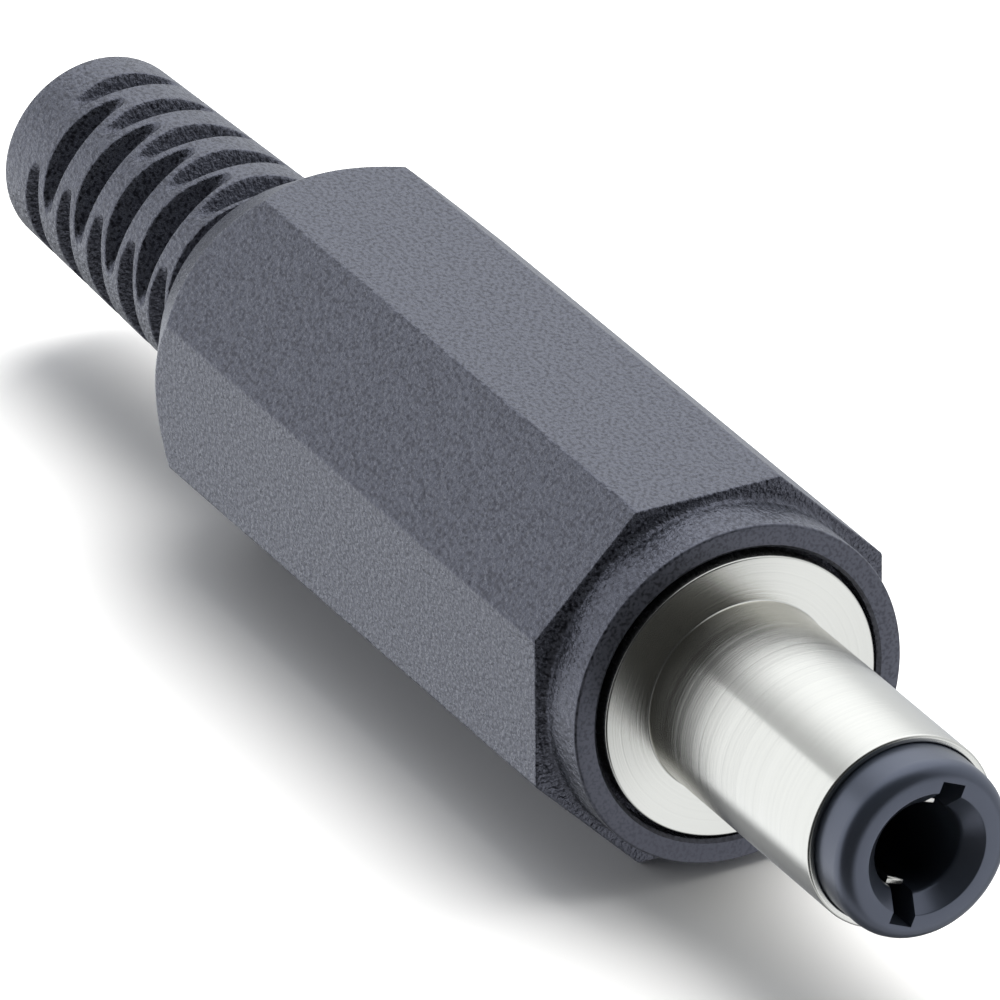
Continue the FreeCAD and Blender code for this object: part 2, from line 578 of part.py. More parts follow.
def cut_bend_relief_grooves(body):
    """Staggered rows of blind grooves that let the bend relief flex.

    Each even row has two long grooves, one on each side, and each odd row has four side grooves,
    two to a half, so that every rib is backed by a groove in the next row.
    """
    outside = "relief_root_diameter / 2 + 1"
    sketch = new_sketch(body, "long_groove_sections", "XZ_Plane", turn="groove_turn")
    even_row = "first_row + groove_pitch / 2"
    groove_section(sketch, even_row, "long_groove_floor", outside)
    groove_section(sketch, even_row, "-long_groove_floor", "-(%s)" % outside)
    long_grooves = pocketed(body, "long_grooves", sketch, "relief_root_diameter * 2", Midplane=True)
    repeat_rows(body, "long_groove_rows", [long_grooves])
    side_grooves = []
    cutter_axis = "side_groove_floor + side_groove_radius"
    for number, turn in enumerate(("groove_turn - side_groove_turn", "groove_turn + side_groove_turn")):
        for half, side in enumerate(("1", "-1")):
            name = "side_groove_%d" % (2 * number + half)
            sketch = new_sketch(body, name + "_section", "XZ_Plane", turn=turn)
            floor, top = side + " * side_groove_floor", "%s * (%s)" % (side, outside)
            groove_section(sketch, "first_row", floor, top)
            axis_height = "%s * (%s)" % (side, cutter_axis)
            height = value(axis_height)
            line = Part.LineSegment(Vector(value("first_row") - 1, height, 0),
                                    Vector(value("first_row") + 1, height, 0))
            axis = sketch.addGeometry(line, True)
            sketch.addConstraint(Sketcher.Constraint("Horizontal", axis))
            fix(sketch, "DistanceY", (-1, 1, axis, 1), axis_height)
            fix(sketch, "DistanceX", (-1, 1, axis, 1), "first_row - 1")
            fix(sketch, "DistanceX", (-1, 1, axis, 2), "first_row + 1")
            before = body.Shape.Volume
            groove = add_feature(body, "Groove", name, sketch, ReferenceAxis=(sketch, ["Axis0"]), Angle=360)
            if not body.Shape.Volume < before:
                raise RuntimeError(name + " cuts nothing")
            side_grooves.append(groove)
    repeat_rows(body, "side_groove_rows", side_grooves)


def make_handle():
    """Moulded handle: octagon with a round collar in front and a grooved bend relief behind."""
    body = new_body("handle")
    section = new_sketch(body, "octagon_section", "YZ_Plane", "octagon_front")
    octagon(section)
    feature = padded(body, "octagon_grip", section, "octagon_front - shoulder", towards_rear=True)
    corner = value("corner_radius")
    edges = straight_edges(feature, Vector(1, 0, 0), lambda p: abs(math.hypot(p.y, p.z) - corner) < 1e-3)
    dressed(body, "Fillet", "grip_edges", feature, edges, "octagon_edge_round")
    beyond = "corner_radius + 1"
    turned(body, "rear_corner_cut", [
        ("corner_cut", "corner_radius"),
        ("shoulder", "shoulder_diameter / 2"),
        ("shoulder", beyond),
        ("corner_cut", beyond),
    ], cut=True)
    turned(body, "collar", [
        ("octagon_front", "0"),
        ("octagon_front", "collar_diameter / 2"),
        ("handle_front", "collar_diameter / 2"),
        ("handle_front", "0"),
    ])
    feature = turned(body, "bend_relief", [
        ("shoulder", "0"),
        ("shoulder", "relief_root_diameter / 2"),
        ("relief_end", "relief_end_diameter / 2"),
        ("relief_end", "0"),
    ])
    for name, station, diameter, size in (
            ("collar_root", "octagon_front", "collar_diameter", "collar_root_fillet"),
            ("collar_edge", "handle_front", "collar_diameter", "collar_edge_round"),
            ("shoulder_edge", "shoulder", "shoulder_diameter", "shoulder_round"),
            ("relief_root", "shoulder", "relief_root_diameter", "relief_root_fillet"),
            ("relief_rear_edge", "relief_end", "relief_end_diameter", "relief_end_round")):
        edges = ring_edges(feature, value(station), value(diameter) / 2)
        feature = dressed(body, "Fillet", name, feature, edges, size)
    cut_bend_relief_grooves(body)
    turned(body, "inside", [
        ("handle_front", "0"),
        ("handle_front", "mouth_diameter / 2 + mouth_bevel"),
        ("handle_front - mouth_bevel", "mouth_diameter / 2"),
        ("mouth_floor", "mouth_diameter / 2"),
        ("mouth_floor", "thread_bore / 2"),
        ("thread_bore_rear", "thread_bore / 2"),
        ("thread_bore_rear", "cavity_diameter / 2"),
        ("cavity_rear", "cavity_diameter / 2"),
        ("cavity_rear - cable_funnel", "cable_bore / 2"),
        ("relief_end", "cable_bore / 2"),
        ("relief_end", "0"),
    ], cut=True)
    return body


def check_document():
    """Stop if any object of the document failed to build."""
    doc.recompute()
    for thing in doc.Objects:
        if "Invalid" in thing.State or "Error" in thing.State:
            raise RuntimeError("%s failed: %s" % (thing.Name, thing.State))


def write_parts(pieces):
    """Check each piece and write it as a STEP file named after its label."""
    os.makedirs("parts", exist_ok=True)
    for piece in pieces:
        shape = piece.Shape
        if shape.isNull() or not shape.isValid() or len(shape.Solids) != 1:
            raise RuntimeError("%s is not one valid solid" % piece.Label)
        shape.exportStep("parts/%s.step" % piece.Label)
        low, high = shape.BoundBox, shape.BoundBox
        print("%-18s %8.2f mm3, x %7.2f to %6.2f, %d faces"
              % (piece.Label, shape.Volume, low.XMin, high.XMax, len(shape.Faces)))


fill_sheet()
PIECES = [
    make_outer_sleeve(),
    make_insulator(),
    make_fork_contact(),
    make_ground_lug(),
    make_insulating_washer(),
    make_handle(),
]
check_document()
write_parts(PIECES)
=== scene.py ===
# %% [markdown]
# # A dc barrel plug, from its CAD model to a studio picture
#
# The plug has a moulded handle that screws over a turned metal contact. The CAD model holds every
# size. This lesson gives each piece a finer skin where the CAD mesh is too plain, a finish that
# follows how the real piece was made, and the light of a white photo table.
#
# The frame comes first: it loads the CAD pieces, and each new piece is tied to one of its bodies.

# %% Load the CAD model
import math
import bmesh
import bpy
import mathutils
import numpy as np
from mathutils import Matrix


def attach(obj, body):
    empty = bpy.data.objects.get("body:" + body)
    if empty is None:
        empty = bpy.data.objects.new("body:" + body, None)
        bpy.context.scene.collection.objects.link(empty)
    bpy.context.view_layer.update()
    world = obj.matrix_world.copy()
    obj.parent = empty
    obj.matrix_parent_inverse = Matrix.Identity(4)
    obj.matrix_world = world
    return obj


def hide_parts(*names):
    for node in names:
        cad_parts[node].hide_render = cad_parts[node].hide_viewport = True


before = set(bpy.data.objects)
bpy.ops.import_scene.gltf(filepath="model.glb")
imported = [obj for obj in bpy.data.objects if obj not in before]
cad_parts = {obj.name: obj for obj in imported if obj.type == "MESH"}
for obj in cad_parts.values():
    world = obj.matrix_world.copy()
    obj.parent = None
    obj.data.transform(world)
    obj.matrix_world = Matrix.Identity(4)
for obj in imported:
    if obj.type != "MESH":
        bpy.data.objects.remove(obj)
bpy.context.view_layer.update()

# %% [markdown]
# ## Skins made of rings
#
# Nearly every piece of the plug is round about one axis. Such a skin is a row of rings: a station
# along the axis and a radius for each ring, and an angle for each point on it. Where the radius
# also depends on the angle, the same rings make an octagon, a thread or a groove. Working in
# millimetres keeps the numbers like those on a drawing. The mesh itself is in metres.

# %% A mesh from rings of points
MM = 0.001


def new_piece(name, points, faces):
    """A mesh object at the origin, from points in millimetres and faces of their numbers."""
    mesh = bpy.data.meshes.new(name)
    mesh.from_pydata((points * MM).tolist(), [], faces.tolist())
    piece = bpy.data.objects.new(name, mesh)
    bpy.context.collection.objects.link(piece)
    return piece


def ring_points(x, radius, angle):
    """Points (x, r cos a, r sin a): the angle a runs from +Y towards +Z, as seen from the tip."""
    x, radius, angle = np.broadcast_arrays(x, radius, angle)
    return np.stack([x, radius * np.cos(angle), radius * np.sin(angle)], axis=-1)


def ringed_skin(name, rings, closed=True):
    """A skin through rings of points. Each face joins two neighbours on one ring to the same two on
    the next, and the last ring joins the first if the section is closed."""
    stations, around = rings.shape[:2]
    row, column = np.meshgrid(np.arange(stations if closed else stations - 1), np.arange(around),
                              indexing="ij")
    next_row, next_column = (row + 1) % stations, (column + 1) % around
    faces = np.stack([row * around + column, next_row * around + column,
                      next_row * around + next_column, row * around + next_column], axis=-1)
    return new_piece(name, rings.reshape(-1, 3), faces.reshape(-1, 4))


print("one millimetre is", MM, "m")

# %% [markdown]
# ## Rounded corners
#
# A moulded or turned piece has no knife edges: the mould or the tool leaves a small round on each
# corner. A section is drawn with straight runs, and an arc then takes the place of each corner. A
# Bevel modifier could round the finished mesh, but here every corner gets the radius of its own.

# %% A section with rounded corners
def rounded(corners, steps=5):
    """Stations and radii along straight runs whose corners are rounded.

    Each corner is (x, r, radius of its arc). An arc touches its two runs at radius / tan(half the
    angle between them) from the corner, and its centre lies on the line that halves that angle.
    """
    corners = np.array(corners, float)
    points = []
    for i, (x, r, radius) in enumerate(corners):
        corner = np.array([x, r])
        if radius == 0:
            points.append(corner)
            continue
        before = corners[i - 1, :2] - corner
        after = corners[(i + 1) % len(corners), :2] - corner
        before, after = before / np.linalg.norm(before), after / np.linalg.norm(after)
        half = math.acos(np.clip(before @ after, -1, 1)) / 2
        centre = corner + (before + after) / np.linalg.norm(before + after) * radius / math.sin(half)
        start = corner + before * radius / math.tan(half) - centre
        end = corner + after * radius / math.tan(half) - centre
        turn = math.atan2(start[0] * end[1] - start[1] * end[0], start @ end)
        for t in np.linspace(0, turn, steps):
            points.append(centre + [start[0] * math.cos(t) - start[1] * math.sin(t),
                                    start[0] * math.sin(t) + start[1] * math.cos(t)])
    return np.array(points)


print("points on a rounded square:", len(rounded([(0, 0, 1), (4, 0, 1), (4, 4, 1), (0, 4, 1)])))

# %% [markdown]
# ## Shading
#
# The mesh has small flat faces, and smooth shading hides the borders between them. The grip's eight
# flats have to stay flat, so an edge where the surface turns by more than an angle is kept sharp.

# %% Smooth shading that keeps flats flat
def finish_shading(piece, crease=32):
    """Smooth shading with sharp edges past the crease angle in degrees. Weighted normals let a large
    flat face keep its own direction, so that only the small faces at its edge look round."""
    piece.data.shade_smooth()
    piece.data.set_sharp_from_angle(angle=math.radians(crease))
    weighted = piece.modifiers.new("weighted normals", "WEIGHTED_NORMAL")
    weighted.keep_sharp = True
    return piece


# %% [markdown]
# ## The handle's grip
#
# The real handle is one moulding: a round collar, an octagonal grip, a cone that cuts the grip's
# rear corners, and a tapered bend relief with staggered grooves. A cylinder with eight sides would
# give the grip alone. Here the radius is worked out for every station and angle, so that one closed
# skin holds it all. The octagon needs points close together at its corners, and the grooves need
# them evenly spread, so the rings change from one spacing to the other behind the grip.

# %% The octagonal grip
FLATS = 10.4                            # across the flats
CORNER_ROUND = 0.15                     # rounded corners between the flats
SHOULDER = -25.71                       # station of the rear shoulder
SHOULDER_RADIUS = 4.0
REAR_CUT = math.tan(math.radians(30))   # slope of the cone that cuts the rear corners
EIGHTH = math.radians(45)
AROUND = 240                            # points on each ring of the handle


def ring_angles(cornered):
    """Angles round the handle: even ones where cornered is 0, and ones that crowd at the octagon's
    eight corners where it is 1. Between the two they are mixed in that share."""
    count = AROUND // 8
    even = np.arange(count) * 45 / count
    corner = np.array([-1.0, -0.6, -0.4, -0.2, 0, 0.2, 0.4, 0.6, 1.0]) + 22.5
    crowded = np.concatenate([np.linspace(0, 20.6, 11), corner, np.linspace(24.4, 45, 11)[:-1]])
    sector = np.radians(even + cornered * (crowded - even))
    return (np.arange(8)[:, None] * EIGHTH + sector).ravel()


def octagon_radius(angle, inset=0.0):
    """Radius of an octagon at an angle: distance to the flat over the cosine of the angle from its
    middle, and near a corner the far side of a small circle that touches both flats."""
    flat = FLATS / 2 - inset
    from_flat = (angle + EIGHTH / 2) % EIGHTH - EIGHTH / 2
    from_corner = EIGHTH / 2 - np.abs(from_flat)
    centre = (flat - CORNER_ROUND) / math.cos(EIGHTH / 2)
    reach = math.atan2(CORNER_ROUND * math.sin(EIGHTH / 2),
                       centre + CORNER_ROUND * math.cos(EIGHTH / 2))
    under = np.maximum(CORNER_ROUND ** 2 - (centre * np.sin(from_corner)) ** 2, 0)
    return np.where(from_corner < reach, centre * np.cos(from_corner) + np.sqrt(under),
                    flat / np.cos(from_flat))


def cone_radius(x):
    """Radius of the cone that cuts the rear corners: the shoulder's radius plus the distance in front
    of the shoulder times the slope."""
    return SHOULDER_RADIUS + (x - SHOULDER) * REAR_CUT


def smooth_min(a, b, width):
    """The lesser of two values, less a little where they differ by less than the width: the square
    of what the difference lacks of the width, over four times the width."""
    return np.minimum(a, b) - np.maximum(width - np.abs(a - b), 0) ** 2 / (4 * width)


print("grip across its corners:", round(2 * float(octagon_radius(EIGHTH / 2)), 3), "mm")

# %% [markdown]
# ## The grooves of the bend relief
#
# A cable breaks where it leaves a stiff plug, so the handle ends in a tube with rows of grooves that
# let it bend. Long grooves and side grooves take turns, and each leaves bridges of plastic that
# carry the pull. The mould is drawn off sideways, so the walls lean outwards. A boolean of bars and
# discs would cut the grooves, but with knife edges. Here a formula says how deep a point lies inside
# a groove, the radius follows from it, and a smooth minimum gives each groove a soft moulded rim.

# %% The grooves of the bend relief
RELIEF_END = -37.43
RELIEF_ROOT_RADIUS = 3.235
RELIEF_END_RADIUS = 2.89
FLOOR_ROUND = 0.25              # radius of a groove's round floor
DRAFT = math.radians(25)        # slope of its walls
ROW_PITCH = 1.01                # long and side rows take turns
FIRST_ROW = -35.6
ROWS = 10
LONG_DIRECTION = math.radians(140)
SIDE_TURN = math.radians(52)
LONG_FLOOR = 2.28
SIDE_FLOOR = 2.32
SIDE_CUTTER = 8.5               # radius of the disc whose path the side grooves follow
RIM_SOFTNESS = 0.05
DEEP_INSIDE = 2.0               # a radius that is in the plastic everywhere
HALVINGS = 22                   # enough to find a border to a millionth of a millimetre


def taper_radius(x):
    """Radius of the bend relief without its grooves, which goes evenly from root to end."""
    along = (SHOULDER - x) / (SHOULDER - RELIEF_END)
    return RELIEF_ROOT_RADIUS + along * (RELIEF_END_RADIUS - RELIEF_ROOT_RADIUS)


def inside_rows(x, above_floor, first):
    """How deep a point lies inside a row of grooves: less than nought outside them all. The section
    is a circle for the floor, with leaning walls that leave it, and every other row belongs to the
    same family."""
    number = np.clip(np.round((x - first) / (2 * ROW_PITCH)), 0, ROWS // 2 - 1)
    across = np.abs(x - first - number * 2 * ROW_PITCH)
    height = above_floor - FLOOR_ROUND
    from_wall = FLOOR_ROUND + height * math.sin(DRAFT) - across * math.cos(DRAFT)
    along_wall = across * math.sin(DRAFT) + height * math.cos(DRAFT)
    return np.where(along_wall > 0, from_wall, FLOOR_ROUND - np.hypot(across, height))


def inside_grooves(x, angle, radius):
    """How deep a point lies inside the nearest groove. Long grooves have a straight floor square to
    their direction. Side grooves have the floor of a disc whose axis runs beside the plug's."""
    straight = np.abs(radius * np.cos(angle - LONG_DIRECTION)) - LONG_FLOOR
    deepest = inside_rows(x, straight, FIRST_ROW + ROW_PITCH)
    for half_turn in (0, math.pi):
        for side in (-SIDE_TURN, SIDE_TURN):
            turn = angle - LONG_DIRECTION - side - half_turn
            from_disc = np.hypot(radius * np.cos(turn) - SIDE_FLOOR - SIDE_CUTTER,
                                 radius * np.sin(turn))
            deepest = np.maximum(deepest, inside_rows(x, SIDE_CUTTER - from_disc, FIRST_ROW))
    return deepest


def grooved_radius(x, angle):
    """Radius of the bend relief with its grooves. A point is outside the plastic where it lies
    outside the taper or inside a groove, and halving the gap finds that border on each ray."""
    x, angle = np.broadcast_arrays(x, angle)
    inner = np.full(x.shape, DEEP_INSIDE)
    outer = taper_radius(x) + 0.1
    for _ in range(HALVINGS):
        middle = (inner + outer) / 2
        outside = -smooth_min(taper_radius(x) - middle, -inside_grooves(x, angle, middle),
                              RIM_SOFTNESS) > 0
        inner, outer = np.where(outside, inner, middle), np.where(outside, middle, outer)
    return inner


deepest_floor = float(grooved_radius(FIRST_ROW + ROW_PITCH, LONG_DIRECTION))
print("radius in the middle of a long groove:", round(deepest_floor, 3), "mm")

# %% [markdown]
# ## The screw thread
#
# The handle screws onto the sleeve, so its front hole has a thread. A thread is a ridge that climbs
# one pitch in each turn: its height depends on the station less the angle's share of a pitch. A
# Screw modifier could turn a profile, but its ends would need closing. The same rule makes the
# sleeve's thread, so the two mesh.

# %% The screw thread
THREAD_PITCH = 0.75
THREAD_CREST = 3.5          # radius of the sleeve's thread
THREAD_ROOT = 3.1
HANDLE_THREAD_ROOT = 3.6    # radius of the handle's threaded hole
HANDLE_THREAD_HEIGHT = 0.33
HANDLE_THREAD_REAR = -8.2
HANDLE_THREAD_FRONT = -1.4
FLANK_SLOPE = 1.3           # over 1, so that crest and root are flat
FLAT_SHARE = 0.15


def from_crest(x, angle):
    """Where a point lies on a right-hand thread, 0 on the sleeve's crest and 1 in its root: twice the
    distance from the nearest whole turn of the station in pitches less the angle in turns."""
    turns = x / THREAD_PITCH - angle / (2 * math.pi)
    return 2 * np.abs(turns - np.round(turns))


def fade(x, low, high, length):
    """0 at both ends of a stretch, rising evenly to 1 over the length."""
    return np.clip(np.minimum(x - low, high - x) / length, 0, 1)


def inner_thread(x, angle):
    """Radius of the handle's threaded hole: its root's, less ridges that stand in the sleeve's roots
    and fade out at both ends."""
    ridge = np.clip(FLANK_SLOPE * from_crest(x, angle) - FLAT_SHARE, 0, 1)
    return HANDLE_THREAD_ROOT - HANDLE_THREAD_HEIGHT * ridge * fade(x, HANDLE_THREAD_REAR,
                                                                    HANDLE_THREAD_FRONT, 0.5)


print("turns of the thread:", round((HANDLE_THREAD_FRONT - HANDLE_THREAD_REAR) / THREAD_PITCH, 1))

# %% [markdown]
# ## The whole handle
#
# The mould and its core give the handle an outside and an inside. One skin runs along both: rings go
# from the front face back over the outside, round the rear edge and forward again through the
# cable's hole, the cavity, the thread and the counterbore for the sleeve's flange. A Solidify
# modifier would give a wall of one thickness, but the inside has a form of its own.

# %% Build the handle
HANDLE_FRONT = -0.12        # station of the handle's front face
GRIP_FRONT = -1.69          # station of the grip's front face
COLLAR_RADIUS = 4.88
MOUTH_RADIUS = 4.19         # counterbore for the sleeve's flange
MOUTH_BEVEL = 0.1
CAVITY_RADIUS = 3.2         # room for the soldered wires
CAVITY_FRONT = -8.4
CABLE_RADIUS = 1.8          # hole for the cable
HALF_ROW = ROW_PITCH / 2


def handle_rings():
    """Rings of the whole handle: outside from front to rear, then inside from rear to front."""
    cornered, even = ring_angles(1.0), ring_angles(0.0)
    rings = []

    def add_section(section, angles):
        for (x, r), angle in zip(section, angles):
            rings.append(ring_points(x, r, angle))

    collar = rounded([(HANDLE_FRONT, 4.55, 0),                  # middle of the front face
                      (HANDLE_FRONT, COLLAR_RADIUS, 0.08),      # its rounded edge
                      (GRIP_FRONT, COLLAR_RADIUS, 0.22),        # fillet against the grip
                      (GRIP_FRONT, 5.12, 0)])
    add_section(collar, [cornered] * len(collar))
    edge = 0.06                                                 # round of the grip's front edge
    for t in np.linspace(0, math.pi / 2, 4):
        inset = edge * (1 - math.sin(t))
        rings.append(ring_points(GRIP_FRONT - edge * (1 - math.cos(t)),
                                 octagon_radius(cornered, inset), cornered))
    grip = octagon_radius(cornered)
    crease = SHOULDER + (grip - SHOULDER_RADIUS) / REAR_CUT
    for step in (0.2, 0.08, 0.03, 0, -0.03, -0.08, -0.2):
        x = crease + step
        rings.append(ring_points(x, smooth_min(grip, cone_radius(x), 0.03), cornered))
    last_row = FIRST_ROW + (ROWS - 1) * ROW_PITCH
    relief_start = last_row + HALF_ROW
    shoulder = rounded([(-24.6, cone_radius(-24.6), 0),         # on the cone
                        (SHOULDER, SHOULDER_RADIUS, 0.35),      # rounded edge of the shoulder
                        (SHOULDER, RELIEF_ROOT_RADIUS, 0.18),   # fillet against the bend relief
                        (relief_start + 0.01, taper_radius(relief_start + 0.01), 0)], 6)
    add_section(shoulder, [ring_angles(share) for share in np.linspace(1, 0, len(shoulder))])
    offsets = np.linspace(HALF_ROW, -HALF_ROW, 29)
    for row in range(ROWS - 1, -1, -1):
        x = (FIRST_ROW + row * ROW_PITCH + offsets[:-1])[:, None]
        rings.extend(ring_points(x, grooved_radius(x, even[None, :]), even[None, :]))
    add_section([(x, taper_radius(x)) for x in (FIRST_ROW - HALF_ROW, -36.6)], [even] * 2)
    rear = rounded([(-37.1, taper_radius(-37.1), 0),
                    (RELIEF_END, RELIEF_END_RADIUS, 0.12),      # rounded rear edge
                    (RELIEF_END, CABLE_RADIUS, 0.08),           # mouth of the cable's hole
                    (-22.4, CABLE_RADIUS, 0.3),                 # cone between hole and cavity
                    (-20.6, CAVITY_RADIUS, 0.3),
                    (CAVITY_FRONT, CAVITY_RADIUS, 0),
                    (CAVITY_FRONT, HANDLE_THREAD_ROOT, 0)])
    add_section(rear, [even] * len(rear))
    x = np.arange(HANDLE_THREAD_REAR, HANDLE_THREAD_FRONT + 0.05, THREAD_PITCH / 5)[:, None]
    rings.extend(ring_points(x, inner_thread(x, even[None, :]), even[None, :]))
    front = [(-1.2, HANDLE_THREAD_ROOT), (-1.2, MOUTH_RADIUS),
             (HANDLE_FRONT - MOUTH_BEVEL, MOUTH_RADIUS), (HANDLE_FRONT, MOUTH_RADIUS + MOUTH_BEVEL)]
    add_section(front, [even] * len(front))
    return np.array(rings)


handle = finish_shading(ringed_skin("handle_moulding", handle_rings()))
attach(handle, "handle")
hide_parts("handle")
print("handle:", len(handle.data.polygons), "faces")

# %% [markdown]
# ## The sleeve
#
# The outer contact is turned on a lathe from brass bar and nickel-plated: a polished shaft, a flange,
# a threaded shank and a thin rear rim that is rolled over to hold the stack. A lathe turns one
# section round the axis, and the skin is made the same way: only the thread changes with the angle.

# %% Build the sleeve
TIP_EDGE = 8.6              # station of the shaft's front edge
SHAFT_RADIUS = 2.75
SHAFT_BORE = 2.55
FLANGE_RADIUS = 4.02
FLANGE_REAR = -1.15
THREAD_FRONT = -1.65        # stations of the thread's ends
THREAD_REAR = -6.9
RIM_REAR = -7.55            # station of the rolled rim's rear face
SLEEVE_AROUND = 192         # points on each ring of the sleeve


def turned_rings(section, around=SLEEVE_AROUND):
    """Rings of a section of (station, radius) points that is the same at every angle."""
    angle = np.arange(around) * 2 * math.pi / around
    return ring_points(section[:, :1], section[:, 1:], angle[None, :])


def sleeve_rings():
    """Rings of the sleeve: outside from front to rear, then its holes from rear to front."""
    angle = np.arange(SLEEVE_AROUND)[None, :] * 2 * math.pi / SLEEVE_AROUND
    front = rounded([(TIP_EDGE, 2.65, 0),
                     (TIP_EDGE, SHAFT_RADIUS, 0.07),        # rounded front edge
                     (0, SHAFT_RADIUS, 0.05),               # root of the shaft
                     (0, FLANGE_RADIUS, 0.06),
                     (FLANGE_REAR, FLANGE_RADIUS, 0.06),
                     (FLANGE_REAR, THREAD_ROOT, 0),         # undercut before the thread
                     (THREAD_FRONT, THREAD_ROOT, 0)])
    x = np.arange(THREAD_FRONT - 0.05, THREAD_REAR, -THREAD_PITCH / 12)[:, None]
    ridge = np.clip(1 + FLAT_SHARE - FLANK_SLOPE * from_crest(x, angle), 0, 1)
    height = (THREAD_CREST - THREAD_ROOT) * (ridge * fade(x, THREAD_REAR, THREAD_FRONT, 0.3))
    thread = ring_points(x, THREAD_ROOT + height, angle)
    rear = rounded([(-6.95, THREAD_ROOT, 0),
                    (RIM_REAR, THREAD_ROOT, 0.25),          # rolled rim
                    (RIM_REAR, 2.4, 0.1),                   # its opening
                    (-7.2, 2.4, 0),
                    (-7.2, 2.8, 0),                         # room for the insulator's body
                    (-0.8, 2.8, 0),
                    (-0.8, SHAFT_BORE, 0),                  # step in the hole
                    (TIP_EDGE, SHAFT_BORE, 0.04),
                    (TIP_EDGE, 2.6, 0)])
    return np.concatenate([turned_rings(front), thread, turned_rings(rear)])


sleeve = finish_shading(ringed_skin("sleeve_turning", sleeve_rings()), 40)
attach(sleeve, "core")
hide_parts("outer_sleeve")
print("sleeve:", len(sleeve.data.polygons), "faces")

# %% [markdown]
# ## The insulator
#
# A black moulding fills the sleeve. Its tip stands out of the shaft, with a rounded nose, a funnel
# into the centre hole and two slots for the contact's tines. The body is a section carried round
# the axis. The slots run across the rings and have crisp edges, so booleans cut them.

# %% Helpers that cut and weld
SLOT_DIRECTION = math.radians(90 - 23.3)    # from +Y towards +Z
WELD_DISTANCE = 1e-7                        # metres


def slot_cutter(x_low, x_high, half_along, half_across):
    """A bar along X whose corners are turned to the slots' direction, by the usual sums of cosine
    and sine."""
    corner = np.array([(x, a, b) for x in (x_low, x_high) for a in (-half_along, half_along)
                       for b in (-half_across, half_across)])
    c, s = math.cos(SLOT_DIRECTION), math.sin(SLOT_DIRECTION)
    points = np.stack([corner[:, 0], corner[:, 1] * c - corner[:, 2] * s,
                       corner[:, 1] * s + corner[:, 2] * c], axis=-1)
    faces = np.array([(0, 1, 3, 2), (4, 6, 7, 5), (0, 4, 5, 1), (2, 3, 7, 6), (0, 2, 6, 4),
                      (1, 5, 7, 3)])
    return new_piece("slot_cutter", points, faces)


def carve(piece, cutters):
    """Cut the cutters out of the piece, keep the result as its mesh and drop the cutters."""
    for cutter in cutters:
        cut = piece.modifiers.new("cut", "BOOLEAN")
        cut.object, cut.operation, cut.solver = cutter, "DIFFERENCE", "EXACT"
    graph = bpy.context.evaluated_depsgraph_get()
    carved = bpy.data.meshes.new_from_object(piece.evaluated_get(graph))
    piece.modifiers.clear()
    piece.data = carved
    for cutter in cutters:
        bpy.data.objects.remove(cutter)


def merge_poles(piece):
    """Join the points that lie together, as those of a ring do where it meets the axis."""
    mesh = bmesh.new()
    mesh.from_mesh(piece.data)
    bmesh.ops.remove_doubles(mesh, verts=mesh.verts, dist=WELD_DISTANCE)
    mesh.to_mesh(piece.data)
    mesh.free()


print("slots run at", round(math.degrees(SLOT_DIRECTION), 1), "degrees from +Y towards +Z")

# %% Build the insulator
TIP_FACE = 10.0
PIN_HOLE_RADIUS = 1.27
TUBE_RADIUS = 2.53          # front tube, pressed into the shaft
BODY_RADIUS = 2.78
BODY_REAR = -6.2
NOSE_RADIUS = 1.55          # rear nose, through the ground lug's ring

insulator_section = rounded([(-0.2, 0, 0),                          # floor of the centre hole
                             (-0.2, PIN_HOLE_RADIUS, 0.2),
                             (9.5, PIN_HOLE_RADIUS, 0.25),          # funnel
                             (TIP_FACE, 1.73, 0.05),
                             (TIP_FACE, TUBE_RADIUS, 0.45),         # rounded nose
                             (-0.82, TUBE_RADIUS, 0),
                             (-0.82, BODY_RADIUS, 0),
                             (BODY_REAR, BODY_RADIUS, 0),
                             (BODY_REAR, NOSE_RADIUS, 0),
                             (-6.6, NOSE_RADIUS, 0),
                             (-6.6, 0, 0)], 8)
insulator = ringed_skin("insulator_moulding", turned_rings(insulator_section, 160), closed=False)
merge_poles(insulator)
tine_slots = slot_cutter(-1.0, 10.5, half_along=2.03, half_across=0.35)
stem_slot = slot_cutter(-7.0, -0.9, half_along=0.98, half_across=0.28)
carve(insulator, [tine_slots, stem_slot])
finish_shading(insulator, 30)
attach(insulator, "core")
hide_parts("insulator")
print("insulator:", len(insulator.data.polygons), "faces")

# %% [markdown]
# ## The stamped pieces
#
# The fork contact, the ground lug and the washer are punched from sheet. The CAD meshes already have
# their true outlines, so they stay. A punched edge is never knife sharp, so modifiers weld the loose
# triangles together and give their edges a small bevel, which catches the light.

# %% Soften the punched edges
PUNCHED_ROUND = 0.03        # millimetres


def soften_edges(name, width):
    """Weld a CAD node's triangles and bevel its sharp edges by a width in millimetres."""
    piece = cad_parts[name]
    weld = piece.modifiers.new("weld", "WELD")
    weld.merge_threshold = WELD_DISTANCE
    bevel = piece.modifiers.new("punched edge", "BEVEL")
    bevel.width, bevel.segments, bevel.limit_method = width * MM, 2, "ANGLE"
    bevel.angle_limit = math.radians(40)
    print("softened:", name)


for stamping in ("fork_contact", "ground_lug", "insulating_washer"):
    soften_edges(stamping, PUNCHED_ROUND)

# %% [markdown]
# ## Colours and nodes
#
# A colour picked from a chart is sRGB, while a shader counts light, so one function turns a hex value
# into linear numbers. A second one adds a node with its settings and links.

# %% Helpers for materials
def linear(hex_colour):
    """Linear RGBA of an sRGB hex colour."""
    srgb = np.array([int(hex_colour[i:i + 2], 16) for i in (1, 3, 5)]) / 255
    rgb = np.where(srgb <= 0.04045, srgb / 12.92, ((srgb + 0.055) / 1.055) ** 2.4)
    return (*rgb.tolist(), 1.0)


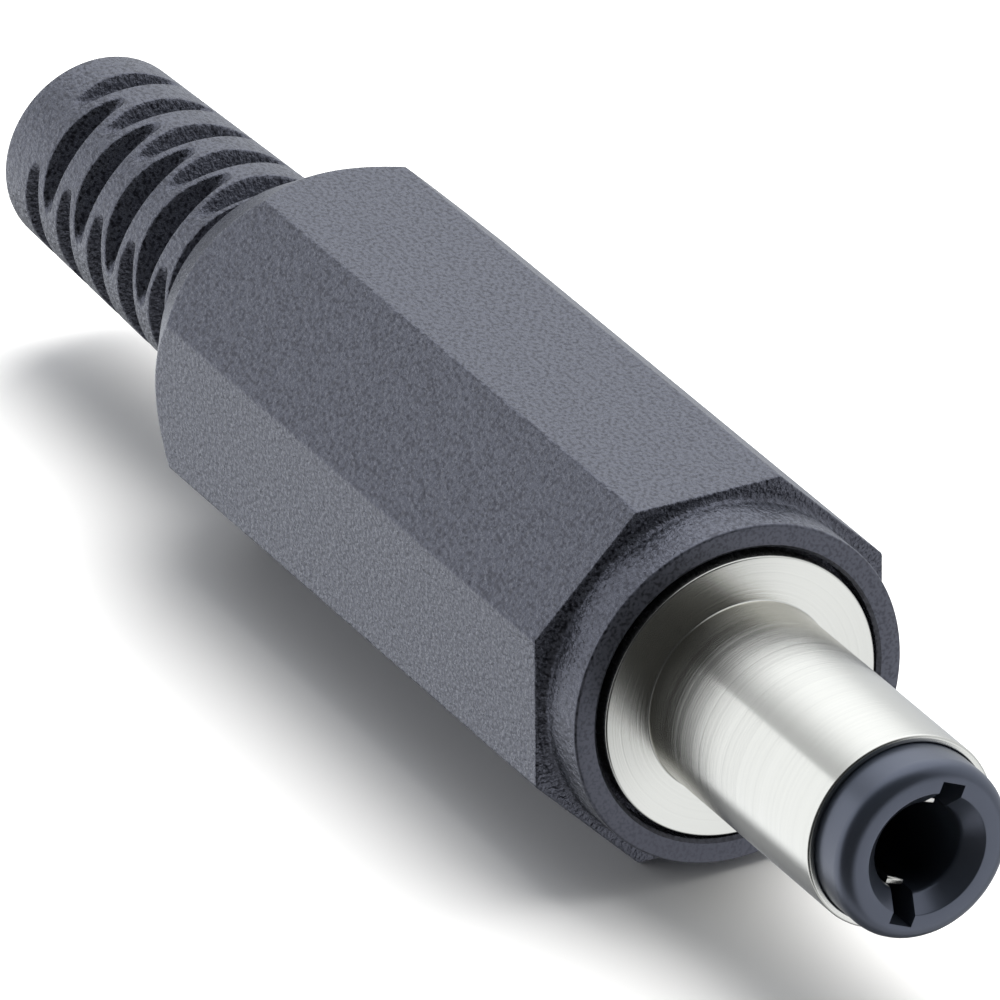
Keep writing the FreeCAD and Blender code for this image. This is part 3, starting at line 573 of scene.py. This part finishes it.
def node(tree, kind, inputs=None, **settings):
    """Add a node: its settings by name, and each input as a value or as a link from a socket."""
    made = tree.nodes.new(kind)
    for name, setting in settings.items():
        setattr(made, name, setting)
    for name, given in (inputs or {}).items():
        if isinstance(given, bpy.types.NodeSocket):
            tree.links.new(given, made.inputs[name])
        else:
            made.inputs[name].default_value = given
    return made


def new_material(name):
    """A material's tree, its shader and its Object coordinates in millimetres."""
    material = bpy.data.materials.new(name)
    material.use_nodes = True
    tree = material.node_tree
    place = node(tree, "ShaderNodeTexCoord").outputs["Object"]
    millimetres = node(tree, "ShaderNodeMapping", {"Vector": place, "Scale": (1000, 1000, 1000)})
    return material, tree, tree.nodes["Principled BSDF"], millimetres.outputs["Vector"]


def dress(piece, material):
    """Give a piece one material."""
    piece.data.materials.clear()
    piece.data.materials.append(material)
    print(piece.name, "is dressed in", material.name)


print("half grey in linear light:", round(linear("#808080")[0], 3))

# %% [markdown]
# ## Spark-eroded black nylon
#
# The handle's mould was cut by sparks, which leave an even field of tiny craters, and the plastic
# copies them as a fine grain. Only the ring round its front hole is smooth. The craters' rims catch
# the light, so black plastic looks blue-grey, with dark dull specks between them. An image of the
# grain would need a UV map and would show where it repeats. Noise on Object coordinates has neither
# fault: one noise gives the relief, and a finer one gives the specks their tone and dullness.

# %% The handle's material
CRATERS_PER_MM = 7.5                # one in about 0.13 mm, as coarse as they really are
SPECKS_PER_MM = 10.0                # one in 0.1 mm
CRATER_DEPTH = 0.00006              # metres
GRAIN_STRETCH = (0.7, 1, 1)         # the grain is a little longer along the plug
SMOOTH_TO = -0.16                   # station where the smooth front ring ends
ERODED_FROM = -0.22                 # station behind which the grain is full
DULL = 0.34                         # roughness of the smooth ring and of the dullest specks
GLOSSY = 0.25                       # roughness of the craters' rims


def spark_eroded_nylon():
    """Dark plastic with craters and finer dull specks; the smooth front ring shows only their tone."""
    material, tree, surface, place = new_material("spark-eroded black nylon")
    parts = node(tree, "ShaderNodeSeparateXYZ", {"Vector": place})
    eroded = node(tree, "ShaderNodeMapRange", {"Value": parts.outputs["X"], "From Min": SMOOTH_TO,
                                               "From Max": ERODED_FROM})
    grain = node(tree, "ShaderNodeMapping", {"Vector": place, "Scale": GRAIN_STRETCH})
    craters = node(tree, "ShaderNodeTexNoise", {"Vector": grain.outputs["Vector"],
                                                "Scale": CRATERS_PER_MM, "Detail": 2.0,
                                                "Roughness": 0.6})
    relief = node(tree, "ShaderNodeBump", {"Height": craters.outputs["Fac"],
                                           "Distance": CRATER_DEPTH,
                                           "Strength": eroded.outputs["Result"]})
    specks = node(tree, "ShaderNodeTexNoise", {"Vector": grain.outputs["Vector"],
                                               "Scale": SPECKS_PER_MM, "Detail": 1.5})
    dullness = node(tree, "ShaderNodeMapRange", {"Value": specks.outputs["Fac"], "From Min": 0.62,
                                                 "From Max": 0.38, "To Min": GLOSSY,
                                                 "To Max": DULL})
    roughness = node(tree, "ShaderNodeMix", {"Factor": eroded.outputs["Result"], "A": DULL,
                                             "B": dullness.outputs["Result"]})
    tone = node(tree, "ShaderNodeMapRange", {"Value": specks.outputs["Fac"], "From Min": 0.36,
                                             "From Max": 0.54})
    colour = node(tree, "ShaderNodeMix", {"Factor": tone.outputs["Result"],
                                          "A": linear("#010102"), "B": linear("#35373d")},
                  data_type="RGBA")
    tree.links.new(colour.outputs["Result"], surface.inputs["Base Color"])
    tree.links.new(roughness.outputs["Result"], surface.inputs["Roughness"])
    tree.links.new(relief.outputs["Normal"], surface.inputs["Normal"])
    surface.inputs["IOR"].default_value = 1.53
    surface.inputs["Specular IOR Level"].default_value = 0.95
    surface.inputs["Specular Tint"].default_value = linear("#ebecff")
    return material


dress(handle, spark_eroded_nylon())

# %% [markdown]
# ## Nickel plate on turned brass
#
# A lathe leaves fine rings round the axis, on the shaft and on the flange's face alike. Bright nickel
# follows them, and is duller in some than in others. A noise that reads only the station and the
# radius draws them, as relief and as roughness. Rings too fine to draw spread a highlight across
# themselves, so the shader is anisotropic. Its tangent runs along the rings, and a quarter turn lays
# the spread across them.

# %% The sleeve's material
MARKS_PER_MM = 14.0         # real ones are finer, but these are coarse enough to show in the render
MARK_DEPTH = 0.00001        # metres


def turned_nickel():
    """Bright nickel with turning marks: noise over the station and the radius, which is the length
    of the vector from the axis. The tangent is the axis crossed with that vector, at length 1."""
    material, tree, surface, place = new_material("nickel plate on turned brass")
    parts = node(tree, "ShaderNodeSeparateXYZ", {"Vector": place})
    flat = node(tree, "ShaderNodeCombineXYZ", {"Y": parts.outputs["Y"], "Z": parts.outputs["Z"]})
    radius = node(tree, "ShaderNodeVectorMath", {"Vector": flat.outputs["Vector"]}, operation="LENGTH")
    ring = node(tree, "ShaderNodeCombineXYZ", {"X": parts.outputs["X"], "Y": radius.outputs["Value"]})
    marks = node(tree, "ShaderNodeTexNoise", {"Vector": ring.outputs["Vector"],
                                              "Scale": MARKS_PER_MM, "Detail": 3.0,
                                              "Roughness": 0.7})
    bump = node(tree, "ShaderNodeBump", {"Height": marks.outputs["Fac"], "Strength": 0.5,
                                         "Distance": MARK_DEPTH})
    wear = node(tree, "ShaderNodeMapRange", {"Value": marks.outputs["Fac"], "From Min": 0.35,
                                             "From Max": 0.65, "To Min": 0.16, "To Max": 0.25})
    tree.links.new(wear.outputs["Result"], surface.inputs["Roughness"])
    around = node(tree, "ShaderNodeVectorMath", {"Vector": (1, 0, 0)}, operation="CROSS_PRODUCT")
    tree.links.new(flat.outputs["Vector"], around.inputs[1])
    tangent = node(tree, "ShaderNodeVectorMath", {"Vector": around.outputs["Vector"]},
                   operation="NORMALIZE")
    tree.links.new(bump.outputs["Normal"], surface.inputs["Normal"])
    tree.links.new(tangent.outputs["Vector"], surface.inputs["Tangent"])
    surface.inputs["Base Color"].default_value = linear("#dddbd2")
    surface.inputs["Metallic"].default_value = 1.0
    surface.inputs["Anisotropic"].default_value = 0.85
    surface.inputs["Anisotropic Rotation"].default_value = 0.25
    return material


dress(sleeve, turned_nickel())

# %% [markdown]
# ## The insulator and the stampings
#
# The insulator comes from a polished mould, so it has no grain: a smooth black plastic, a little
# uneven where it flowed. The fork and the lug are tinned, so that solder takes to them, and rolled
# sheet has faint streaks. The washer is pressed fibre, matt and cloudy. Each needs one noise, as
# relief on the smooth ones and as colour on the fibre.

# %% The insulator's material
FLOW_PER_MM = 2.0           # one swell in half a millimetre
FLOW_DEPTH = 0.00003        # metres


def satin_moulding():
    """Black plastic from a smooth mould, with faint flow unevenness."""
    material, tree, surface, place = new_material("smooth moulded black nylon")
    flow = node(tree, "ShaderNodeTexNoise", {"Vector": place, "Scale": FLOW_PER_MM,
                                             "Detail": 2.0})
    bump = node(tree, "ShaderNodeBump", {"Height": flow.outputs["Fac"], "Strength": 0.15,
                                         "Distance": FLOW_DEPTH})
    tree.links.new(bump.outputs["Normal"], surface.inputs["Normal"])
    surface.inputs["Base Color"].default_value = linear("#24282f")
    surface.inputs["Roughness"].default_value = 0.3
    surface.inputs["Specular IOR Level"].default_value = 1.0
    surface.inputs["Specular Tint"].default_value = linear("#e2e9ff")
    surface.inputs["IOR"].default_value = 1.6
    return material


dress(insulator, satin_moulding())

# %% The stampings' materials
STREAKS_PER_MM = (0.9, 18, 18)      # about 1 mm long, and wider than real ones, so that they show
FIBRE_CLOUDS_PER_MM = 3.0


def tin_plate(name, colour, roughness):
    """Bright tin plate on stamped brass, with the faint streaks of rolled sheet along X."""
    material, tree, surface, place = new_material(name)
    streaks = node(tree, "ShaderNodeMapping", {"Vector": place, "Scale": STREAKS_PER_MM})
    marks = node(tree, "ShaderNodeTexNoise", {"Vector": streaks.outputs["Vector"], "Scale": 1.0,
                                              "Detail": 3.0})
    bump = node(tree, "ShaderNodeBump", {"Height": marks.outputs["Fac"], "Strength": 0.2,
                                         "Distance": MARK_DEPTH})
    tree.links.new(bump.outputs["Normal"], surface.inputs["Normal"])
    surface.inputs["Base Color"].default_value = linear(colour)
    surface.inputs["Metallic"].default_value = 1.0
    surface.inputs["Roughness"].default_value = roughness
    return material


def pressed_fibre():
    """Dark pressed fibre sheet: matt, with a soft cloudy tone."""
    material, tree, surface, place = new_material("pressed fibre sheet")
    clouds = node(tree, "ShaderNodeTexNoise", {"Vector": place, "Scale": FIBRE_CLOUDS_PER_MM,
                                               "Detail": 4.0})
    colour = node(tree, "ShaderNodeMix", {"Factor": clouds.outputs["Fac"], "A": linear("#1d1c1b"),
                                          "B": linear("#2f2c29")}, data_type="RGBA")
    tree.links.new(colour.outputs["Result"], surface.inputs["Base Color"])
    surface.inputs["Roughness"].default_value = 0.8
    return material


dress(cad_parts["fork_contact"], tin_plate("tin plate on the fork", "#d2cfc6", 0.22))
dress(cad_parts["ground_lug"], tin_plate("tin plate on the lug", "#cfcdc6", 0.3))
dress(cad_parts["insulating_washer"], pressed_fibre())

# %% [markdown]
# ## The photo table
#
# The plug lies on a white sheet, as in a catalogue picture. The sheet is the stage, not part of the
# object, and lies a hair below the grip's lowest flat, because two faces in one plane flicker. One
# softbox hangs high behind the plug, to the right. In the plated shaft the lamp would be a hard
# bright patch, and the sheet would whiten the dark parts. So neither shows in reflections, and the
# painted room takes their place there.

# %% Floor and lights
FLOOR = -5.21               # the grip's lowest flat is at -5.2
HALF_SHEET = 4000           # reaches past the picture, except where the camera is very low
sheet_corners = np.array([(-1, -1), (1, -1), (1, 1), (-1, 1)]) * HALF_SHEET
floor = new_piece("floor", np.column_stack([sheet_corners, np.full(4, FLOOR)]),
                  np.array([[0, 1, 2, 3]]))
paper, _, paper_surface, _ = new_material("white paper sheet")
paper_surface.inputs["Base Color"].default_value = linear("#f7f5f1")
paper_surface.inputs["Roughness"].default_value = 0.9
dress(floor, paper)


def soft_light(name, toward, distance, width, height, radiance, colour):
    """A rectangular area light that faces the plug from a direction, at a distance in millimetres.
    Its power is its radiance times pi and its area."""
    light = bpy.data.lights.new(name, "AREA")
    light.shape, light.size, light.size_y = "RECTANGLE", width * MM, height * MM
    light.energy = radiance * math.pi * width * height * MM ** 2
    light.color = linear(colour)[:3]
    lamp = bpy.data.objects.new(name, light)
    bpy.context.collection.objects.link(lamp)
    place = np.array(toward) / np.linalg.norm(toward) * distance * MM
    lamp.location = place
    lamp.rotation_euler = mathutils.Vector(-place).to_track_quat("-Z", "Y").to_euler()
    return lamp


softbox = soft_light("overhead softbox", toward=(-0.15, 0.45, 0.9), distance=300, width=320,
                     height=320, radiance=5.2, colour="#ffffff")
softbox.visible_glossy = False
floor.visible_glossy = False
print("softbox:", round(softbox.data.energy, 2), "W")

# %% [markdown]
# ## The room
#
# Bright metal shows what stands round it, and dark plastic shows it at a glance. A photo table is
# closed in by a white tent with a gap for the camera, and that gap is the dark part of the flange and
# of the shaft. Cards and cloths could be modelled for it, but here the room's brightness is painted
# by direction: each light is a soft step in the cosine of the angle to a direction of its own. The
# Standard view keeps the levels as they are painted, where the default one would grey them.

# %% Helpers for the room
world = bpy.data.worlds.new("room")
world.use_nodes = True
room = world.node_tree
direction = node(room, "ShaderNodeTexCoord").outputs["Generated"]


def step_toward(toward, start, end, low, high):
    """A value that goes smoothly from low to high as the cosine of the angle between the seen
    direction and a given one goes from start to end."""
    cosine = node(room, "ShaderNodeVectorMath", {"Vector": direction}, operation="DOT_PRODUCT")
    cosine.inputs[1].default_value = np.array(toward) / np.linalg.norm(toward)
    return node(room, "ShaderNodeMapRange", {"Value": cosine.outputs["Value"], "From Min": start,
                                             "From Max": end, "To Min": low, "To Max": high},
                interpolation_type="SMOOTHSTEP").outputs["Result"]


def combined(operation, *values):
    """The values added or multiplied one after the other."""
    total = values[0]
    for value in values[1:]:
        both = node(room, "ShaderNodeMath", operation=operation)
        room.links.new(total, both.inputs[0])
        room.links.new(value, both.inputs[1])
        total = both.outputs["Value"]
    return total


# %% Paint the room
CAMERA_GAP = (0.81, -0.53, 0.25)            # middle of the dark gap in the tent
REAR_RIGHT = (-0.28, 0.68, 0.68)            # the tent is a little brighter there
SHAFT_STREAK = (-0.788, 0.292, 0.541)       # what the brightest line of the shaft mirrors
OVERHEAD = (-0.35, 0.3, 0.89)               # where the lamp hangs, which reflections leave out
FLANGE_GLOW = (0.788, 0.415, -0.455)        # what the flange's face mirrors
PANEL_EDGE = (0, -0.749, -0.663)            # square to the crisp upper edge of the left panel
PANEL_MIDDLE = (-0.788, -0.611, -0.075)
UNDER_TABLE = (-0.4, 0, -0.917)

tent = step_toward(CAMERA_GAP, start=0.58, end=0.3, low=0.04, high=0.71)
wide_glow = step_toward(REAR_RIGHT, start=0.25, end=0.9, low=0.0, high=0.2)
key_glow = step_toward(SHAFT_STREAK, start=0.88, end=0.995, low=0.0, high=0.08)
high_glow = step_toward(OVERHEAD, start=0.6, end=0.95, low=0.0, high=0.7)
low_glow = step_toward(FLANGE_GLOW, start=0.84, end=0.96, low=0.0, high=0.5)
panel_edge = step_toward(PANEL_EDGE, start=0.03, end=0.08, low=0.0, high=0.64)
panel_ends = step_toward(PANEL_MIDDLE, start=0.45, end=0.75, low=0.0, high=1.0)
panel = combined("MULTIPLY", panel_edge, panel_ends)
dimming = step_toward(UNDER_TABLE, start=0.78, end=0.88, low=1.0, high=0.25)
lights = combined("ADD", tent, wide_glow, key_glow, high_glow, low_glow, panel)
brightness = combined("MULTIPLY", lights, dimming)
sky = room.nodes["Background"]
sky.inputs["Color"].default_value = linear("#f4f8ff")
room.links.new(brightness, sky.inputs["Strength"])
bpy.context.scene.world = world
bpy.context.scene.view_settings.view_transform = "Standard"
print("room:", len(room.nodes), "nodes")

# %% [markdown]
# ## The camera
#
# The photo was taken from the tip's side and a little above, with a long lens from nearly half a
# metre. A camera can be set by eye, but an outline only falls into place when it is worked out: its
# axes from three angles, and its place from how far the plug's origin lies in front of it and beside
# its centre line.

# %% Camera
azimuth, elevation, roll = (math.radians(angle) for angle in (62.25, 27.05, -0.54))
DISTANCE, ASIDE, ABOVE = 450, -6.311, 5.154     # millimetres
FOCAL_PIXELS = 17170
PICTURE_PIXELS = 1000
SENSOR = 36
back = np.array([math.sin(azimuth) * math.cos(elevation), -math.cos(azimuth) * math.cos(elevation),
                 math.sin(elevation)])
level = np.array([math.cos(azimuth), math.sin(azimuth), 0])
upright = np.cross(back, level)
right = math.cos(roll) * level + math.sin(roll) * upright
up = math.cos(roll) * upright - math.sin(roll) * level
lens = bpy.data.cameras.new("camera")
lens.sensor_width = SENSOR
lens.lens = SENSOR * FOCAL_PIXELS / PICTURE_PIXELS
camera = bpy.data.objects.new("camera", lens)
bpy.context.collection.objects.link(camera)
matrix = np.eye(4)
matrix[:3, :3] = np.stack([right, up, back], axis=1)
matrix[:3, 3] = (back * DISTANCE + right * ASIDE + up * ABOVE) * MM
camera.matrix_world = matrix.T
bpy.context.scene.camera = camera
print("camera:", round(lens.lens), "mm lens,", DISTANCE, "mm away")
